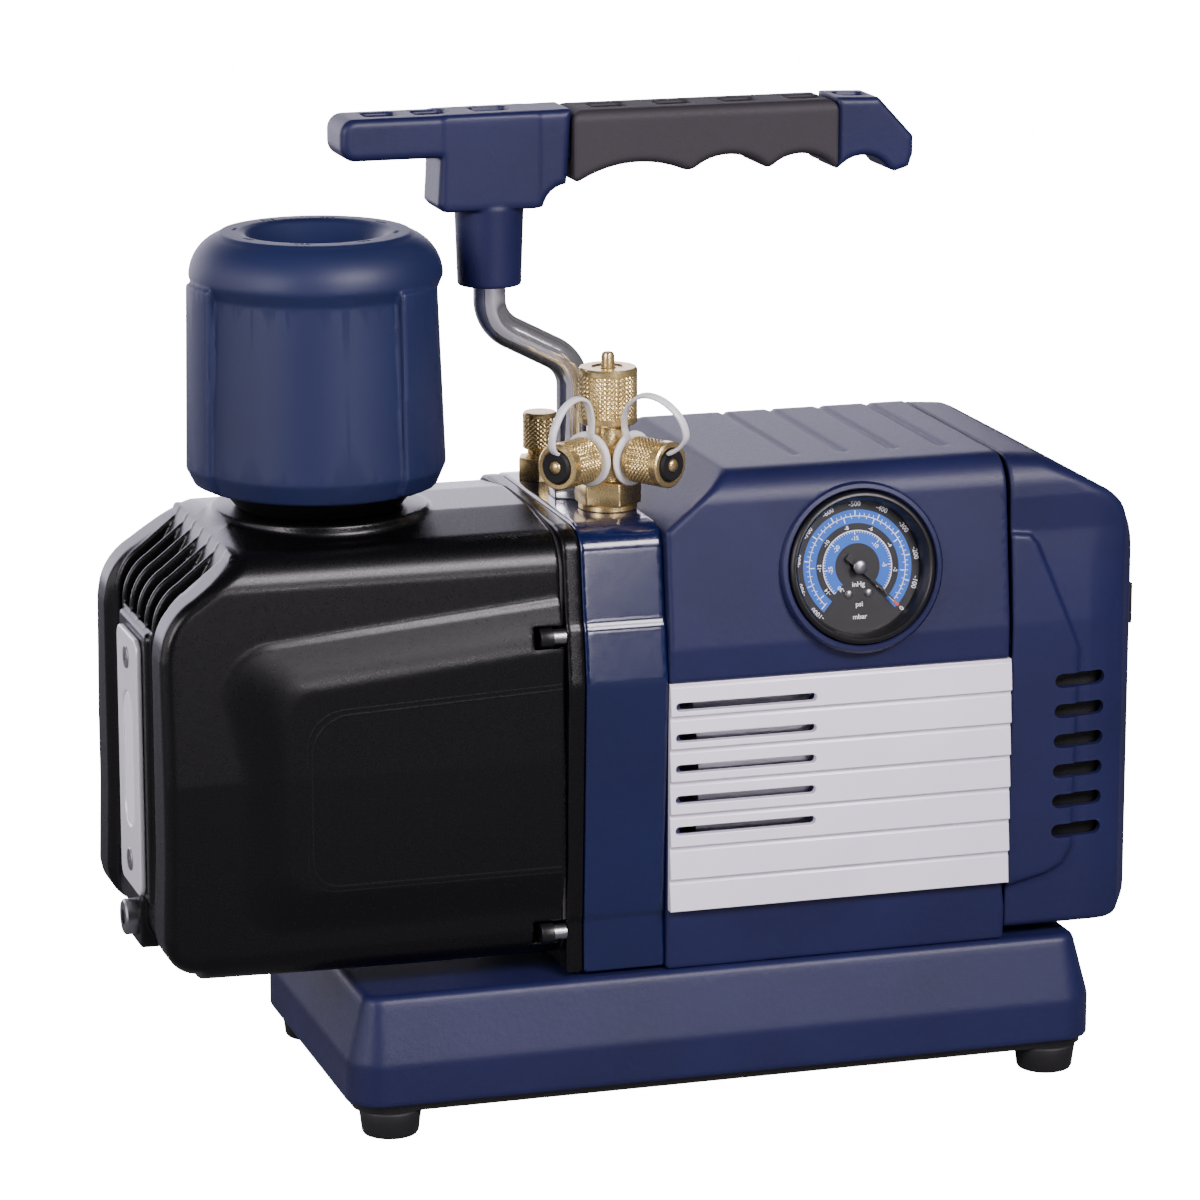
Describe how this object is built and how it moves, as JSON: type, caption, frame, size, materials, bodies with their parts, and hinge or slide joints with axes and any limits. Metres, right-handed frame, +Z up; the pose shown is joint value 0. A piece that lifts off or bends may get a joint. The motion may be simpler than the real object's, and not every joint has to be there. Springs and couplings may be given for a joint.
{
  "type": "rotary vane vacuum pump",
  "caption": "Two-stage rotary vane vacuum pump with oil tank, sight glass, exhaust filter, brass inlet manifold, vacuum gauge, bent carrying handle and rubber feet.",
  "frame": {"origin": "on the surface that the feet stand on, at the middle of the pump's bounding box", "axes": "+X runs along the shaft from the oil tank to the fan cover, -Y is the gauge side, +Z is up"},
  "size_m": [0.3471, 0.1309, 0.334],
  "materials": {
    "navy_plastic": "fine moulded texture, satin",
    "gloss_navy": "semi-gloss paint",
    "black_casting": "semi-gloss powder coat on cast aluminium",
    "black_plastic": "satin",
    "rubber": "matte",
    "steel": "satin",
    "iron": "machined",
    "silver": "satin",
    "chrome": "polished",
    "brass": "bright, machined",
    "milky_plastic": "translucent",
    "filter_paper": "matte",
    "copper": "lacquered copper wire",
    "vane": "machined composite",
    "needle": "satin",
    "glass": "clear"
  },
  "bodies": {
    "body": {"base_plinth": "navy_plastic", "base_pan": "black_plastic", "rubber_feet": "rubber", "base_screws": "steel", "oil_tank": "black_casting", "tank_gasket": "rubber", "mounting_flange": "black_casting", "bracket_ring": "gloss_navy", "tank_screws": "steel", "sight_frame": "silver", "sight_window": "milky_plastic", "sight_screws": "steel", "handle_tube": "chrome", "handle_body": "navy_plastic", "handle_grip": "rubber", "handle_nut": "steel", "manifold": "brass", "left_strap": "milky_plastic", "right_strap": "milky_plastic", "ballast_valve": "brass", "motor_shell": "navy_plastic", "side_panels": "silver", "motor_frame": "silver", "end_bells": "silver", "motor_cradle": "silver", "stator_core": "steel", "windings": "copper", "bearings": "steel", "capacitor": "black_plastic", "shaft_seal": "rubber", "pump_stators": "iron", "pump_plates": "iron", "valve_guard": "steel", "gauge_case": "black_plastic", "gauge_dial": "black_plastic", "gauge_glass": "glass", "fan_cover": "navy_plastic", "mains_inlet": "black_plastic", "rocker_housing": "black_plastic"},
    "rotor": {"motor_shaft": "steel", "motor_rotor": "steel", "cooling_fan": "black_plastic", "coupling_hubs": "steel", "coupling_spider": "rubber", "pump_shaft": "steel", "pump_rotors": "iron"},
    "first_stage_vanes": {"first_vanes": "vane"},
    "second_stage_vanes": {"second_vanes": "vane"},
    "discharge_disc": {"discharge_valve": "steel"},
    "needle": {"gauge_needle": "needle"},
    "switch": {"rocker": "black_plastic"},
    "ballast": {"ballast_knob": "brass"},
    "top_cap": {"top_cap": "brass"},
    "left_cap": {"left_cap": "brass"},
    "right_cap": {"right_cap": "brass"},
    "filter": {"filter_cap": "navy_plastic", "filter_base": "black_plastic", "filter_element": "filter_paper", "filter_seal": "rubber"},
    "drain": {"drain_plug": "steel"}
  },
  "joints": [
    {"name": "shaft_spin", "type": "hinge", "parent": "body", "child": "rotor", "pos_m": [0.07, 0, 0.112], "axis": [1, 0, 0], "continuous": true},
    {"name": "first_vanes_slide", "type": "slide", "parent": "rotor", "child": "first_stage_vanes", "axis": [0, 0, 1], "range_m": [-0.0045, 0.0045]},
    {"name": "second_vanes_slide", "type": "slide", "parent": "rotor", "child": "second_stage_vanes", "axis": [0, 0, 1], "range_m": [-0.0045, 0.0045]},
    {"name": "discharge_lift", "type": "slide", "parent": "body", "child": "discharge_disc", "axis": [0, 0, 1], "range_m": [0, 0.003]},
    {"name": "needle_turn", "type": "hinge", "parent": "body", "child": "needle", "pos_m": [0.068, -0.0595, 0.1835], "axis": [0, -0.9848, 0.1736], "range_deg": [0, 270], "stiffness_Nm_per_rad": 0.0002},
    {"name": "switch_rock", "type": "hinge", "parent": "body", "child": "switch", "pos_m": [0.1675, -0.027, 0.16], "axis": [0, 0, 1], "range_deg": [0, 16]},
    {"name": "ballast_turn", "type": "hinge", "parent": "body", "child": "ballast", "pos_m": [-0.0177, 0.03, 0.21], "axis": [0, 0, 1], "range_deg": [0, 180]},
    {"name": "top_cap_lift", "type": "slide", "parent": "body", "child": "top_cap", "axis": [0, 0, 1], "range_m": [0, 0.02]},
    {"name": "left_cap_pull", "type": "slide", "parent": "body", "child": "left_cap", "axis": [-0.809, -0.5878, 0], "range_m": [0, 0.012], "deforming": ["left_strap"]},
    {"name": "right_cap_pull", "type": "slide", "parent": "body", "child": "right_cap", "axis": [0.515, -0.8572, 0], "range_m": [0, 0.012], "deforming": ["right_strap"]},
    {"name": "filter_lift", "type": "slide", "parent": "body", "child": "filter", "axis": [0, 0, 1], "range_m": [0, 0.0105]},
    {"name": "drain_pull", "type": "slide", "parent": "body", "child": "drain", "axis": [-1, 0, 0], "range_m": [0, 0.02]}
  ]
}
